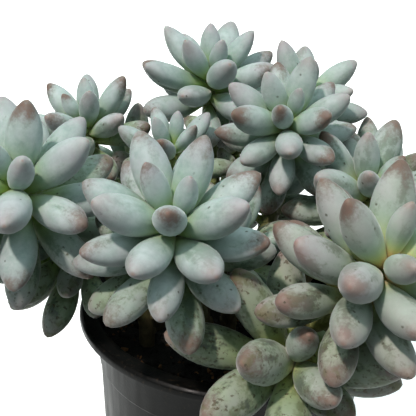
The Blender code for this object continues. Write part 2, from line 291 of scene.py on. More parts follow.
# One line a shoot: where its tip is in mm, the way it faces (bearing from the front towards +X, and lift),
# the turn of its first leaf and from each leaf to the next, how many leaves and the longest in mm, how far
# the innermost and the outermost open, how quickly they open, the stem between two leaves in mm, and how
# many are young. Angles are in degrees
Shoot = namedtuple("Shoot", "name tip bearing lift turn spiral leaves longest inner outer ease step young")
SHOOTS = (
    Shoot("shoot_centre", (-24, -51, 165), -7, 64, -2, 138.4, 28, 33, 14, 104, 0.5, 0.9, 4),
    Shoot("shoot_left", (-79, -35, 166), -18, 50, 130, -136.6, 25, 34, 14, 129, 0.63, 0.9, 4),
    Shoot("shoot_left_back", (-67, 58, 157), -54, 76, -85, -139.6, 17, 27, 12, 95, 0.9, 0.8, 4),
    Shoot("shoot_small_back", (-29, 27, 160), -20, 80, 85, 138.4, 13, 24, 8, 112, 1.0, 1.0, 6),
    Shoot("shoot_top", (-16, 64, 180), -11, 82, -31, 137.4, 20, 31, 14, 100, 1.0, 0.8, 5),
    Shoot("shoot_right_back", (14, 16, 178), -10, 50, 43, -137.6, 24, 27, 21, 115, 0.73, 0.9, 4),
    Shoot("shoot_far_back", (24, 70, 171), 8, 54, 69, 136.4, 19, 29, 22, 116, 0.5, 0.9, 4),
    Shoot("shoot_right_middle", (48, 10, 155), 15, 62, 20, -137.5, 20, 31, 15, 108, 0.65, 1.0, 4),
    Shoot("shoot_right_edge", (84, 10, 160), 55, 60, 0, 137.5, 16, 31, 15, 108, 0.7, 1.0, 4),
    Shoot("shoot_right_front", (44, -68, 164), 40, 56, 82, 137.8, 26, 34, 27, 114, 0.5, 1.1, 4),
    Shoot("shoot_lower_front", (20, -60, 121), 15, 35, 95, -137.5, 15, 42, 25, 105, 0.7, 1.5, 3),
    Shoot("shoot_lower_left", (-72, -6, 127), -60, 25, 10, 137.5, 15, 31, 25, 110, 0.7, 1.2, 3),
    Shoot("shoot_middle", (-4, -10, 139), 10, 75, 0, 137.5, 14, 28, 15, 100, 0.8, 1.1, 4),
    Shoot("shoot_back_left", (-50, 80, 130), -150, 40, 40, 137.5, 14, 31, 20, 105, 0.7, 1.1, 3),
    Shoot("shoot_back_right", (62, 70, 134), 140, 40, 110, -137.5, 15, 31, 20, 105, 0.7, 1.1, 3),
    Shoot("shoot_heart", (9, 45, 136), 128, 55, 148, -137.5, 13, 27, 15, 100, 0.7, 1.0, 3),
    Shoot("shoot_back_middle", (0, 102, 141), 150, 58, 248, -137.5, 12, 30, 21, 103, 0.7, 1.0, 3),
)
print(len(SHOOTS), "shoots with", sum(shoot.leaves for shoot in SHOOTS), "leaves")


# %% The stems' lines
def facing(shoot):
    """The way that the shoot's tip points, as a unit vector."""
    bearing = math.radians(shoot.bearing)
    lift = math.radians(shoot.lift)
    level = math.cos(lift)
    return np.array([math.sin(bearing) * level, -math.cos(bearing) * level, math.sin(lift)])


def foot_of(shoot):
    """Where the shoot's stem enters the soil."""
    x = FOOT_SHRINK * MM * shoot.tip[0]
    y = FOOT_SHRINK * MM * shoot.tip[1] + FOOT_BACK
    reach = min(1.0, FOOT_REACH / max(math.hypot(x, y), MM))
    return np.array([x * reach, y * reach, SOIL_TOP])


def stem_handles(shoot):
    """The ends of the stem's bend, above the soil and below the leaves, with the handles that steer it."""
    tip = np.array(shoot.tip) * MM
    axis = facing(shoot)
    crown = tip - axis * shoot.step * MM * (shoot.leaves + 1)
    start = foot_of(shoot) + STEM_UPRIGHT * UP
    reach = np.linalg.norm(crown - start)
    return start, start + STEM_RISE * reach * UP, crown - STEM_LEAD * reach * axis, crown


def stem_line(shoot, bends=STEM_BENDS):
    """The points of the stem's middle line from its foot to its tip, and the stem's radius at each."""
    tip = np.array(shoot.tip) * MM
    handles = stem_handles(shoot)
    crown = handles[-1]
    points = [foot_of(shoot) - STEM_DEPTH * UP]
    for k in range(bends + 1):
        t = k / bends
        weights = ((1 - t) ** 3, 3 * t * (1 - t) ** 2, 3 * t * t * (1 - t), t**3)
        points.append(sum(weight * handle for weight, handle in zip(weights, handles)))
    radii = [STEM_RADIUS] * len(points)
    points += [(crown + tip) / 2, tip]
    radii += [(STEM_RADIUS + STEM_TIP_RADIUS) / 2, STEM_TIP_RADIUS]
    return np.array(points), np.array(radii)


feet = [foot_of(shoot) for shoot in SHOOTS]
print("stems stand up to", round(max(math.hypot(x, y) for x, y, _ in feet) / MM), "mm off the middle")


# %% The leaves' spirals
def leaf_radius(t):
    """Half the width of a leaf of length 1 at t along it, from its narrow root to its blunt end."""
    rounded = np.abs(np.sin(np.pi * t**LEAF_SWELL)) ** LEAF_BLUNT
    return LEAF_WIDTH * np.hypot(rounded, LEAF_NECK * (1 - t))


def unit(vectors, least=1e-9):
    """The vectors at a length of 1, and those shorter than the least kept short."""
    return vectors / np.maximum(np.linalg.norm(vectors, axis=-1, keepdims=True), least)


class Leaves:
    """All the plant's leaves, as arrays: root, heading, length, stem's axis, shoot's number and age."""

    def __init__(self):
        draw = np.random.default_rng(SEED)
        rows = []
        for number, shoot in enumerate(SHOOTS):
            rows += self.spiral(number, shoot, draw)
        columns = [np.array(column) for column in zip(*rows)]
        self.roots, self.heads, self.lengths, self.axes, self.shoots, self.ages = columns

    @staticmethod
    def spiral(number, shoot, draw):
        """One shoot's leaves from its tip down: each turned on from the last, and more open."""
        axis = facing(shoot)
        side = unit(np.cross(UP, axis))
        across = np.cross(axis, side)
        for k in range(shoot.leaves):
            age = k / (shoot.leaves - 1)
            around = math.radians(shoot.turn + shoot.spiral * k) + draw.normal(0, JITTER)
            share = age**shoot.ease
            opening = math.radians(shoot.inner + (shoot.outer - shoot.inner) * share)
            opening += draw.normal(0, JITTER)
            out = math.cos(around) * side + math.sin(around) * across
            root = (np.array(shoot.tip) - axis * shoot.step * k) * MM + out * ROOT_INSET
            head = math.cos(opening) * axis + math.sin(opening) * out
            grown = min(1.0, YOUNGEST + (1 - YOUNGEST) * k / shoot.young)
            yield root, head, shoot.longest * MM * grown, axis, number, age

    def rise(self):
        """The way that each leaf's upper face looks: square to the leaf, on the side of the stem's tip."""
        along = np.sum(self.axes * self.heads, axis=1, keepdims=True)
        return unit(self.axes - along * self.heads, LEAF_LEVEL)

    def balls(self):
        """Balls along each leaf that fill its form, as centres and radii."""
        t = np.array(BALLS)[None, :, None]
        bent = t * self.heads[:, None] + LEAF_CURL * t * t * self.rise()[:, None]
        centres = self.roots[:, None] + self.lengths[:, None, None] * bent
        return centres, self.lengths[:, None] * leaf_radius(np.array(BALLS))[None]


def stem_balls():
    """Balls along every stem, as centres, radii and the number of the shoot that each is on."""
    centres, radii, shoots = [], [], []
    for number, shoot in enumerate(SHOOTS):
        points, sizes = stem_line(shoot)
        for start, end, size in zip(points[:-1], points[1:], sizes[:-1]):
            steps = max(1, int(np.linalg.norm(end - start) / STEM_BALLS))
            centres += [start + (end - start) * k / steps for k in range(steps)]
            radii += [size] * steps
            shoots += [number] * steps
    return np.array(centres), np.array(radii), np.array(shoots)


print("a leaf is", round(2 * LEAF_WIDTH, 2), "of its length wide")


# %% Leaves make room for each other
def pot_push(centres, radii):
    """How far each ball has to move to be clear of the rim, of the wall's outside and of the soil."""
    reach = np.maximum(np.linalg.norm(centres[..., :2], axis=-1, keepdims=True), MM)
    out = centres * (1, 1, 0) / reach
    rim = out * (NECK_RADIUS + RIM_RADIUS) / 2 + UP * (POT_HEIGHT - RIM_HEIGHT / 2)
    size = radii[..., None] + CLEAR
    from_rim = centres - rim
    far = np.linalg.norm(from_rim, axis=-1, keepdims=True)
    push = unit(from_rim) * np.clip(size + RIM_BALL - far, 0, None)
    inside = reach < NECK_RADIUS
    beside = (centres[..., 2:] < POT_HEIGHT) & ~inside
    sunk = np.clip(SOIL_TOP + SOIL_RELIEF + size - centres[..., 2:], 0, None)
    crossed = np.clip(NECK_RADIUS + size - reach, 0, None)
    return push + np.where(inside, sunk, 0) * UP + np.where(beside, crossed, 0) * out


def near_pairs(leaves, stems):
    """Pairs of a leaf's ball and a ball of another leaf, or of another shoot's stem, that could touch.

    Returned as their numbers, the distance that keeps them clear, whether both are on one shoot, and the
    share of a crossing that the first ball makes good.
    """
    centres, radii = leaves.balls()
    count, each = radii.shape
    movers = count * each
    everywhere = np.concatenate([centres.reshape(-1, 3), stems[0]])
    size = np.concatenate([radii.reshape(-1), stems[1]])
    leaf = np.concatenate([np.repeat(np.arange(count), each), -1 - stems[2]])
    shoot = np.concatenate([np.repeat(leaves.shoots, each), stems[2]])
    outer = np.concatenate([np.tile(np.array(BALLS) > CROWDED, count), np.zeros(len(stems[2]), bool)])
    far = np.linalg.norm(everywhere[:movers, None] - everywhere[None], axis=-1)
    own = shoot[:movers, None] == shoot[None]
    close = far < size[:movers, None] + size[None] + NEAR
    close &= leaf[:movers, None] != leaf[None]
    close &= ~own | (outer[:movers, None] & outer[None])
    one, two = np.nonzero(close)
    own = own[one, two]
    share = np.where(leaf[two] < 0, 1.0, np.where(own, PUSH_BACK * PUSH_OWN, PUSH_BACK))
    return one, two, size[one] + size[two] + CLEAR, own, share


def pushes(leaves, stems, pairs):
    """The balls' centres, how each is pushed, and how deep each leaf crosses what isn't its own shoot."""
    centres, radii = leaves.balls()
    one, two, apart, own, share = pairs
    everywhere = np.concatenate([centres.reshape(-1, 3), stems[0]])
    step = everywhere[one] - everywhere[two]
    depth = np.clip(apart - np.linalg.norm(step, axis=1), 0, None)
    push = pot_push(centres, radii).reshape(-1, 3)
    worst = np.linalg.norm(push, axis=1)
    np.add.at(push, one, (share * depth)[:, None] * unit(step))
    np.maximum.at(worst, one, np.where(own, 0, depth))
    return centres, push.reshape(centres.shape), worst.reshape(radii.shape).max(axis=1)


def settle(leaves):
    """Turns the leaves about their roots until all are clear, trims those that aren't, and says which are."""
    stems = stem_balls()
    for _ in range(TRIM_ROUNDS):
        pairs = near_pairs(leaves, stems)
        for _ in range(TURNS):
            centres, push, worst = pushes(leaves, stems, pairs)
            lever = centres - leaves.roots[:, None]
            turn = TURN_EASE * np.cross(lever, push).sum(axis=1) / (lever**2).sum(axis=(1, 2))[:, None]
            turn = unit(turn) * np.minimum(TURN_LIMIT, np.linalg.norm(turn, axis=1, keepdims=True))
            leaves.heads = np.round(unit(leaves.heads + np.cross(turn, leaves.heads)), DIGITS)
        worst = pushes(leaves, stems, near_pairs(leaves, stems))[2]
        leaves.lengths = np.where(worst > CLEAR / 2, leaves.lengths * TRIM, leaves.lengths)
    return pushes(leaves, stems, near_pairs(leaves, stems))[2] < CLEAR


leaves = Leaves()
kept = settle(leaves)
rises = leaves.rise()
print(int(kept.sum()), "leaves stand clear of each other")

# %% [markdown]
# ## One leaf
#
# A real leaf is a plump, slightly flattened club: a narrow neck, its widest place past the middle, and a
# blunt end with a tiny point. Its upper face is flatter than its keel, and the two meet in a soft edge down
# each side. It could be sculpted, but a leaf that is copied hundreds of times should have only a few dozen
# faces, so it starts as a coarse sphere and each of its rings is resized. Creased edges and one subdivision
# later make it smooth. A young leaf is widest near its middle and an old one further out, like a spoon, so
# three forms are made.

# %% Model the leaf forms
LEAF_SEGMENTS = 10
LEAF_BANDS = 8
# Subdivision draws a ten-sided ring in by about this much, so it is made that much fuller first
LEAF_FULLER = 1.08
UPPER_FLATNESS = 0.82
TIP_POINT = 0.04
EDGE_CREASE = 0.25
EDGE_START = 0.25

# How far out the widest place lies, how thick the neck is, how full the leaf is towards its root and towards
# its end (less is fuller), and its width
LeafForm = namedtuple("LeafForm", "name swell neck root_blunt end_blunt width")
LEAF_FORMS = (
    LeafForm("young_leaf", 1.22, 0.32, 0.6, 0.56, 1.1),
    LeafForm("grown_leaf", LEAF_SWELL, LEAF_NECK, LEAF_BLUNT, 0.5, 1.0),
    LeafForm("old_leaf", 1.6, 0.27, LEAF_BLUNT, 0.45, 1.02),
)


def form_radius(form, t):
    """Half the width of a leaf form of length 1 at t along it."""
    blunt = form.root_blunt + (form.end_blunt - form.root_blunt) * t
    rounded = math.sin(math.pi * t**form.swell) ** blunt
    return LEAF_WIDTH * form.width * math.hypot(rounded, form.neck * (1 - t))


def model_leaf(form):
    """A leaf one metre long along +Z, with its flatter upper face to +Y."""
    clear_selection()
    middle = (0, 0, 0.5)
    quarter_turn = (0, 0, math.pi / 2)
    bpy.ops.mesh.primitive_uv_sphere_add(
        segments=LEAF_SEGMENTS, ring_count=LEAF_BANDS, radius=0.5, location=middle, rotation=quarter_turn
    )
    leaf = made(form.name)
    edit(leaf)
    rings = [0.5 - 0.5 * math.cos(math.pi * k / LEAF_BANDS) for k in range(1, LEAF_BANDS)]
    for height in rings:
        now = math.sqrt(height - height**2)
        wanted = LEAF_FULLER * form_radius(form, height)
        select_points(leaf, lambda place: abs(place.z - height) < MM)
        bpy.ops.transform.resize(value=(wanted / now, wanted / now, 1), center_override=(0, 0, height))
    select_points(leaf, lambda place: place.y > MM)
    bpy.ops.transform.resize(value=(1, UPPER_FLATNESS, 1), center_override=middle)
    select_points(leaf, lambda place: abs(place.y) < MM and place.z > EDGE_START)
    bpy.ops.transform.edge_crease(value=EDGE_CREASE)
    select_points(leaf, lambda place: place.z > 1 - MM)
    bpy.ops.transform.translate(value=(0, LEAF_CURL, TIP_POINT))
    for height in rings:
        select_points(leaf, lambda place: abs(place.z - height) < MM)
        bpy.ops.transform.translate(value=(0, LEAF_CURL * height**2, 0))
    select_points(leaf, lambda place: place.z < MM)
    bpy.ops.transform.translate(value=(0, 0, LEAF_ROOT))
    end_edit()
    close_up(leaf)
    return leaf


leaf_forms = [model_leaf(form) for form in LEAF_FORMS]
print("a leaf has", len(leaf_forms[0].data.polygons), "faces before it is smoothed")

# %% [markdown]
# The leaves' finish has to know where on a leaf it is, so each copy carries five facts on its points: how far
# along the leaf a point is, its place on the leaf in metres, the leaf's age from 0 at the heart of the
# rosette to 1 at its foot, how much sun its shoot has had, and a number drawn by lot. No pattern then repeats
# from leaf to leaf.

# %% Copy the leaf
LOT_SEED = 5
WIDTH_SPREAD = 0.04
THICKNESS_SPREAD = 0.06
YOUNG_UNTIL = 0.22
GROWN_UNTIL = 0.72
# Shoots whose tips stand lower than this are older and more weathered, fully so once they are that much
# lower, and higher ones are younger and cleaner at the same rate
CROWN_HEIGHT = 160 * MM
CROWN_DROP = 60 * MM
# Shoots further to the right than this are browned by the sun, fully so once they are that much further
SUNNED_FROM = -10 * MM
SUNNED_REACH = 50 * MM
SUNNED_BEHIND = 0.4
# Each leaf's patterns are read from a place of their own, up to this many metres away
PATTERN_SHIFT = 2.0

lots = np.random.default_rng(LOT_SEED)


def sun_share(shoot):
    """How much the sun has browned a shoot: most at the front of the plant's right side."""
    share = (shoot.tip[0] * MM - SUNNED_FROM) / SUNNED_REACH
    return min(1.0, max(0.0, share)) * (1.0 if shoot.tip[1] < 0 else SUNNED_BEHIND)


def grow_leaf(k):
    """A copy of a leaf form, set where leaf k stands, with its facts on its points."""
    root, head, rise = leaves.roots[k], leaves.heads[k], rises[k]
    length, age, shoot = leaves.lengths[k], leaves.ages[k], SHOOTS[leaves.shoots[k]]
    leaf = copy_of(leaf_forms[0 if age < YOUNG_UNTIL else 1 if age < GROWN_UNTIL else 2])
    places = point_places(leaf)
    every_point = np.ones(len(places))
    tell_points(leaf, "along", "FLOAT", np.clip(places[:, 2], 0, 1))
    tell_points(leaf, "on_leaf", "FLOAT_VECTOR", places * length + PATTERN_SHIFT * lots.random(3))
    low = (CROWN_HEIGHT - shoot.tip[2] * MM) / CROWN_DROP
    tell_points(leaf, "age", "FLOAT", every_point * min(1.0, max(0.0, age + low)))
    tell_points(leaf, "lot", "FLOAT", every_point * lots.random())
    tell_points(leaf, "sunned", "FLOAT", every_point * sun_share(shoot))
    side = np.cross(rise, head) * lots.normal(1, WIDTH_SPREAD)
    rise = rise * lots.normal(1, THICKNESS_SPREAD)
    rows = np.column_stack((side * length, rise * length, head * length, root))
    leaf.data.transform(Matrix((*rows.tolist(), (0, 0, 0, 1))))
    return leaf


print("leaves differ by about", round(100 * WIDTH_SPREAD), "% in width")

# %% [markdown]
# ## The finish of the leaves
#
# The skin of a leaf is a smooth green cuticle. Over it lies a bloom of fine wax that scatters light, as on a
# plum, and turns the green to a pale, matt blue-grey. The bloom is thin at the leaf's base, so a yellowish
# green shows there, and it is rubbed off in streaks where leaves touched something. Sun tints it lilac or
# buff and reddens the tip, and the tip of about half the leaves dries to a crumbly brown smudge. Old leaves
# lose more bloom and gather olive stains, pits and dark specks. All of this is mixed from noise patterns
# whose size is a real size in millimetres.

# %% Leaf material
BLUSH_SIZE = 26 * MM
CLOUD_SIZE = 4 * MM
RUB_SIZE = 7 * MM
SMUDGE_SIZE = 7 * MM
CRUMBLE_SIZE = 1.4 * MM
STAIN_SIZE = 5 * MM
PIT_SIZE = 1.9 * MM
SPECK_SPACING = 2.6 * MM
# Rubs run along a leaf, so their pattern is drawn out that way: its scale there is this share of the rest
LENGTHWISE = 0.4
# Real wax grain is a few hundredths of a millimetre, far too fine to show, so it is drawn at this size
WAX_GRAIN = 0.7 * MM
WAX_BUMP = 0.06 * MM

leaf_skin = new_material("glaucous_cuticle_under_wax_bloom")


def finish_leaf_skin(skin):
    """Green cuticle, wax bloom over it, and what wears or stains the two."""
    facts = ("along", "age", "lot", "sunned")
    along, age, lot, sunned = (add(skin, "Attribute", {}, FACT, attribute_name=fact) for fact in facts)
    place = add(skin, "Attribute", {}, FACT_VECTOR, attribute_name="on_leaf")
    drawn_out = add(skin, "Mapping", {"Vector": place, "Scale": (1.0, 1.0, LENGTHWISE)})

    # One noise a pattern: its size, its detail and roughness, and the place that it reads
    noise = {}
    for name, size, detail, roughness, where in (
        ("clouds", CLOUD_SIZE, 5.0, 0.6, place),
        ("crumbs", CRUMBLE_SIZE, 5.0, 0.65, place),
        ("lilac", BLUSH_SIZE, 3.0, 0.5, place),
        ("drifts", RUB_SIZE, 4.0, 0.6, drawn_out),
        ("rubs", RUB_SIZE, 3.0, 0.55, drawn_out),
        ("smudges", SMUDGE_SIZE, 1.0, 0.5, drawn_out),
        ("stains", STAIN_SIZE, 2.0, 0.5, place),
        ("pits", PIT_SIZE, 2.0, 0.5, place),
        ("jogs", CRUMBLE_SIZE, 3.0, 0.5, place),
        ("wax", WAX_GRAIN, 4.0, 0.5, place),
    ):
        pattern = {"Vector": where, "Scale": 1 / size, "Detail": detail, "Roughness": roughness}
        noise[name] = add(skin, "TexNoise", pattern)
    crumbly = noise["crumbs"]

    # A second lot, drawn from the first, and dark specks: cells of a pattern, jogged so that none is round
    other_lot = add(skin, "Math", {0: lot, 1: 7.0}, operation="MULTIPLY")
    other_lot = add(skin, "Math", {0: other_lot}, operation="FRACT")
    jogged = {0: noise["jogs"], 1: (MM, MM, MM), 2: place}
    jogged = add(skin, "VectorMath", jogged, operation="MULTIPLY_ADD")
    to_speck = add(skin, "TexVoronoi", {"Vector": jogged, "Scale": 1 / SPECK_SPACING}, feature="F1")
    speck_lot = add(skin, "SeparateColor", {0: to_speck.node.outputs["Color"]})

    # Sums that the layers follow: each starts from a value and adds shares of others, some of them sums made
    # before it. The tips' colours end in an uneven line, stains and rubs have crumbly edges, and age and sun
    # make most of them stronger
    sums = {}
    for name, start, *shares in (
        ("peach", 0.0, (sunned, 0.7)),
        ("buff", 0.0, (sunned, 0.6)),
        ("light", -0.7, (lot, 0.5), (noise["clouds"], 2.0)),
        ("thinned", 0.1, (age, 0.5)),
        ("drifts", noise["drifts"], (crumbly, 0.2)),
        ("worn", noise["rubs"], (crumbly, 0.36), (sunned, 0.03)),
        ("wear", 0.12, (age, 0.85), (sunned, 0.25)),
        ("uneven", -0.43, (noise["smudges"], 0.5), (crumbly, 0.36)),
        ("to_mauve", along, ("uneven", 0.6)),
        ("to_blush", along, ("uneven", 0.35)),
        ("to_smudge", along, ("uneven", 1.0), (sunned, 0.05)),
        ("smudged", other_lot, (age, 0.4), (sunned, 0.2)),
        ("ruddy", 0.1, (lot, 0.3), (sunned, 0.35)),
        ("ripe", 0.5, (age, 0.5)),
        ("stained", noise["stains"], (crumbly, 0.3)),
        ("pitted", noise["pits"], (crumbly, 0.2)),
        ("specked", speck_lot, (age, 0.35)),
    ):
        for fact, share in shares:
            parts = {0: sums.get(fact, fact), 1: share, 2: start}
            start = add(skin, "Math", parts, operation="MULTIPLY_ADD")
        sums[name] = start

    # The cuticle: fresh green in young leaves, olive in old ones, yellow at the base, peach there in the sun
    yellow = lay_over(skin, "#a3b863", [("#cfd07c", sunned), ("#d0a67c", sums["peach"], (along, 0.3, 0.05))])
    green = lay_over(skin, "#7ba37c", [("#60733c", age), (yellow, 0.9, (along, 0.6, 0.1))])

    # The bloom: cloudy blue-grey, more olive on old leaves, buff on sunned ones, lilac near the tip of some
    bloom = lay_over(skin, "#8d9d9a", [
        ("#b5bfbf", sums["light"]),
        ("#869876", 0.85, (age, 0.45, 1.0)),
        ("#9d9d90", sums["buff"], (along, 0.2, 0.7)),
        ("#a8a2aa", 0.5, (noise["lilac"], 0.45, 0.65), (along, 0.35, 0.9)),
    ])

    # How much bloom there is: little at the base, and thinner in drifts, more so on old leaves
    thin = {"Value": sums["drifts"], "From Min": 0.55, "From Max": 0.78, "To Max": sums["thinned"]}
    thin = add(skin, "MapRange", thin, interpolation_type="SMOOTHSTEP")
    thick = add(skin, "Math", {0: 0.97, 1: thin}, operation="SUBTRACT")
    cover = {"Value": along, "From Min": 0.02, "From Max": 0.7, "To Max": thick}
    cover = add(skin, "MapRange", cover, interpolation_type="SMOOTHSTEP")

    # From the cuticle up: the bloom, rubbed places, the tip's mauve, its blush, a smudge's halo and its
    # heart, the point, and then olive stains, pits and dark specks
    rub = lay_over(skin, "#4e5f54", [("#5f6155", sunned)])
    mauve = lay_over(skin, "#968b90", [("#8a797a", sunned)])
    smudge = lay_over(skin, "#46362d", [("#85675a", crumbly)])
    blush = add(skin, "Math", {0: sums["ruddy"], 1: sums["ripe"]}, operation="MULTIPLY")
    skin_colour = lay_over(skin, green, [
        (bloom, cover),
        (rub, sums["wear"], (along, 0.25, 0.6), (sums["worn"], 0.71, 0.86)),
        (mauve, 0.5, (sums["to_mauve"], 0.7, 1.0)),
        ("#93665c", blush, (sums["to_blush"], 0.87, 1.01)),
        ("#706961", 0.62, (sums["smudged"], 0.59, 0.82), (sums["to_smudge"], 0.76, 1.0)),
        (smudge, 0.85, (sums["smudged"], 0.59, 0.82), (sums["to_smudge"], 0.87, 1.07)),
        ("#8d6c60", 0.55, (along, 0.982, 1.0)),
        ("#5d6640", 0.6, (age, 0.45, 1.0), (sums["stained"], 0.65, 0.81)),
        ("#4b3f2a", 0.75, (age, 0.4, 1.0), (sums["pitted"], 0.69, 0.78)),
        ("#3f3a2a", 0.75, (sums["specked"], 0.93, 0.99), (to_speck, 0.26, 0.1)),
    ])

    shader = add(skin, "BsdfPrincipled", {
        "Base Color": skin_colour,
        "Roughness": add(skin, "MapRange", {"Value": cover, "To Min": 0.36, "To Max": 0.62}),
        "Normal": add(skin, "Bump", {"Height": noise["wax"], "Distance": WAX_BUMP, "Strength": 0.6}),
        "IOR": 1.45,
        "Specular IOR Level": 0.32,
        "Subsurface Weight": 0.22,
        "Subsurface Radius": (0.45, 1.0, 0.6),
        "Subsurface Scale": 3.5 * MM,
        "Sheen Weight": 0.3,
        "Sheen Roughness": 0.35,
    })
    add(skin, "OutputMaterial", {"Surface": shader})


finish_leaf_skin(leaf_skin)
print(len(leaf_skin.node_tree.nodes), "nodes make the leaves' skin")

# %% [markdown]
# ## Stems
#
# A stem is bare below its rosette: green and smooth near the leaves, brown and corky at its foot, which is
# also darkened as painted shade, and marked all the way by the scars of leaves that it dropped. A curve is
# the easiest way to lead a round stem along a bend, as its two handles pull it upright out of the soil and
# into line with the rosette. It becomes a mesh, and one scar, a shallow dished disc, is copied up it in the
# same spiral as the leaves.

# %% Stem material
CORK_SIZE = 1.6 * MM
CORK_BUMP = 0.3 * MM
# Cork cracks along the stem, so its pattern is drawn out that way, as a leaf's rubs are
CORK_LENGTHWISE = 0.45

stem_bark = new_material("green_stem_turning_corky_with_painted_shade")


def finish_stem_bark(bark):
    """Olive green skin near the leaves, turning towards the foot to brown cork darkened as painted shade,
    with fine cracks.
    """
    along = add(bark, "Attribute", {}, FACT, attribute_name="along")
    place = add(bark, "TexCoord", {}, 3)
    stretched = add(bark, "Mapping", {"Vector": place, "Scale": (1.0, 1.0, CORK_LENGTHWISE)})
    cork = add(bark, "TexNoise", {"Vector": stretched, "Scale": 1 / CORK_SIZE, "Detail": 5.0})
    patches = add(bark, "TexNoise", {"Vector": place, "Scale": 1 / (6 * CORK_SIZE), "Detail": 3.0})
    shift = add(bark, "Math", {0: patches, 1: along})
    greenness = add(bark, "MapRange", {"Value": shift, "From Min": 0.7, "From Max": 1.15})
    # The brown at the foot is cork's colour, darkened further as painted shade where the stem stands deep in
    # the pot
    brown = lay_over(bark, "#2f2818", [("#6b5b3d", cork)])
    green = lay_over(bark, "#4b5829", [("#8b9154", cork)])
    cracks = add(bark, "Bump", {"Height": cork, "Distance": CORK_BUMP, "Strength": 0.7})
    shader = add(bark, "BsdfPrincipled", {
        "Base Color": lay_over(bark, brown, [(green, greenness)]),
        "Roughness": 0.7,
        "Normal": cracks,
        "IOR": 1.45,
    })
    add(bark, "OutputMaterial", {"Surface": shader})


finish_stem_bark(stem_bark)
print(len(stem_bark.node_tree.nodes), "nodes make the bark")

# %% Model the stems and their scars
STEM_ROUNDNESS = 3
STEM_PIECES = 14
SCAR_RADIUS = 1.7 * MM
SCAR_HEIGHT = 0.7 * MM
SCAR_SIDES = 8
SCAR_SPACING = 2.3 * MM
SCAR_DISH = 0.25 * MM


def bend_stem(shoot):
    """The bare stem, from its foot in the soil to the heart of its rosette."""
    start, rise, lead, crown = stem_handles(shoot)
    places = (foot_of(shoot) - STEM_DEPTH * UP, start, crown, np.array(shoot.tip) * MM)
    clear_selection()
    bpy.ops.curve.primitive_bezier_curve_add()
    stem = bpy.context.object
    knots = stem.data.splines[0].bezier_points
    knots.add(2)
    for knot, place in zip(knots, places):
        knot.handle_left_type = "VECTOR"
        knot.handle_right_type = "VECTOR"
        knot.co = place
        knot.radius = 1
    knots[3].radius = STEM_TIP_RADIUS / STEM_RADIUS
    knots[1].handle_right_type = "FREE"
    knots[1].handle_right = rise
    knots[2].handle_left_type = "FREE"
    knots[2].handle_left = lead
    stem.data.resolution_u = STEM_PIECES
    stem.data.bevel_depth = STEM_RADIUS
    stem.data.bevel_resolution = STEM_ROUNDNESS
    stem.data.use_fill_caps = True
    bpy.ops.object.convert(target="MESH")
    close_up(stem)
    stem.data.materials.clear()
    stem.data.materials.append(stem_bark)
    return stem


def model_scar():
    """A leaf scar: a low round pad with a dished face, looking along +Z."""
    clear_selection()
    bpy.ops.mesh.primitive_cylinder_add(vertices=SCAR_SIDES, radius=SCAR_RADIUS, depth=2 * SCAR_HEIGHT)
    scar = made("leaf_scar")
    edit(scar)
    select_points(scar, lambda place: place.z > 0)
    bpy.ops.mesh.inset(thickness=SCAR_RADIUS / 3, depth=-SCAR_DISH)
    end_edit()
    scar.data.materials.append(stem_bark)
    return scar


def scar_stem(shoot, scar):
    """Copies of the scar, spiralling up the bare stretch of the shoot's stem."""
    points, _ = stem_line(shoot, STEM_PIECES)
    points = points[1:-2]
    steps = np.linalg.norm(np.diff(points, axis=0), axis=1)
    reach = np.concatenate([[0], np.cumsum(steps)])
    scars = []
    for k in range(int(reach[-1] / SCAR_SPACING)):
        way = (k + 0.5) * SCAR_SPACING
        middle, ahead = np.column_stack([np.interp([way, way + MM], reach, line) for line in points.T])
        axis = Vector(ahead - middle).normalized()
        side = axis.orthogonal().normalized()
        out = Matrix.Rotation(math.radians(shoot.spiral * k), 3, axis) @ side
        place = Vector(middle) + out * (STEM_RADIUS - SCAR_HEIGHT / 2)
        mark = copy_of(scar)
        mark.data.transform(Matrix.Translation(place) @ out.to_track_quat("Z", "Y").to_matrix().to_4x4())
        scars.append(mark)
    return scars


leaf_scar = model_scar()
print("a scar has", len(leaf_scar.data.polygons), "faces")

# %% [markdown]
# Now each shoot is put together. Its leaves are joined first and smoothed by one level of subdivision, which
# turns the coarse rings into round ones but respects the creased edges. The stem and its scars are joined on
# after that, because they are smooth enough, and the whole takes the place of the plain shoot.

# %% Grow the shoots
for form in leaf_forms:
    form.data.materials.append(leaf_skin)


def grow_shoot(number, shoot):
    """One leafy shoot, as a single piece."""
    crown = join([grow_leaf(k) for k in np.flatnonzero((leaves.shoots == number) & kept)])
    apply_modifier(crown, "SUBSURF", levels=1, render_levels=1)
    bark = join([bend_stem(shoot)] + scar_stem(shoot, leaf_scar))
    height = point_places(bark)[:, 2]
    tell_points(bark, "along", "FLOAT", (height - SOIL_TOP) / (height.max() - SOIL_TOP))
    piece = join([crown, bark])
    piece.name = "fine_" + shoot.name
    piece.data.name = piece.name
    bpy.ops.object.shade_smooth()
    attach(piece, "root")
    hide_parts(shoot.name)
    return piece


fine_shoots = [grow_shoot(number, shoot) for number, shoot in enumerate(SHOOTS)]
for form in (*leaf_forms, leaf_scar):
    bpy.data.objects.remove(form, do_unlink=True)
print(sum(len(piece.data.polygons) for piece in fine_shoots), "faces in", len(fine_shoots), "shoots")

# %% [markdown]
# ## The pot
#
# The pot is a common nursery pot, drawn from a sheet of black polypropylene over a mould, so it is thin,
# tapers so that it slides off the mould, and has a rolled rim that stiffens it. A fine step runs round the
# wall where pots stacked in each other come to rest. It could be turned from a curve, but here it is raised
# as by hand: a disc, whose edge is pulled out again and again, up the outside, over the rim and down the
# inside.

# %% Pot material
SCUFF_SIZE = 5 * MM
SCUFF_UPRIGHT = 0.16
DUST_SIZE = 1.3 * MM
MOULD_GRAIN = 0.9 * MM
MOULD_BUMP = 0.06 * MM
# Dust gathers on the wall from this far under the soil's surface up to the rim
DUST_DROP = 12 * MM

black_plastic = new_material("thermoformed_black_polypropylene")


